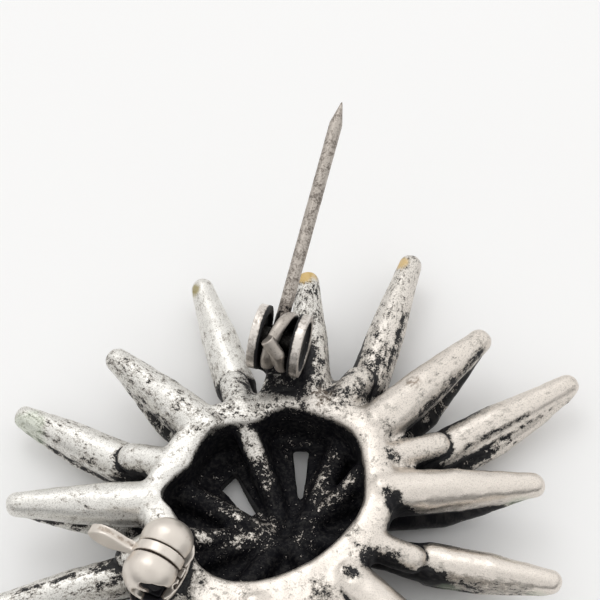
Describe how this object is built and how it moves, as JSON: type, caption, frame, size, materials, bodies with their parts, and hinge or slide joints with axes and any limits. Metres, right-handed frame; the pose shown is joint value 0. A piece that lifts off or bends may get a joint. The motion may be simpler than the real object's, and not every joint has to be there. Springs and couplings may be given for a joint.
{
  "type": "starburst brooch",
  "caption": "Two-tier starburst brooch in antiqued cast metal, hollow at the back, with a hinged pin stem and a roll-over catch for pinning to clothes.",
  "frame": {"origin": "under the middle of the burst, on the surface that the brooch's front rests on", "axes": "+Z out of the brooch's back, +Y from the burst's middle towards the pin's hinge side, +X to the right when the hinge side is at the top"},
  "size_m": [0.0558, 0.0645, 0.0173],
  "materials": {
    "casting": "antiqued silver-tone plating over a cast base metal, black in the recesses, worn bright on the high parts",
    "rivet": "dull steel",
    "pin": "grey drawn wire, slightly tarnished",
    "rotor": "smooth worn silver-tone plating"
  },
  "bodies": {
    "brooch": {"burst_casting": "casting", "joint_rivet": "rivet"},
    "pin": {"pin_stem": "pin"},
    "catch_lock": {"catch_rotor": "rotor"}
  },
  "joints": [
    {"name": "pin_hinge", "type": "hinge", "parent": "brooch", "child": "pin", "pos_m": [-0.00115, 0.0133, 0.0117], "axis": [0.9632, -0.2689, 0], "range_deg": [0, 171]},
    {"name": "catch_turn", "type": "hinge", "parent": "brooch", "child": "catch_lock", "pos_m": [-0.01184, -0.0089, 0.0103], "axis": [0.4226, 0.9063, 0], "range_deg": [0, 100]}
  ]
}
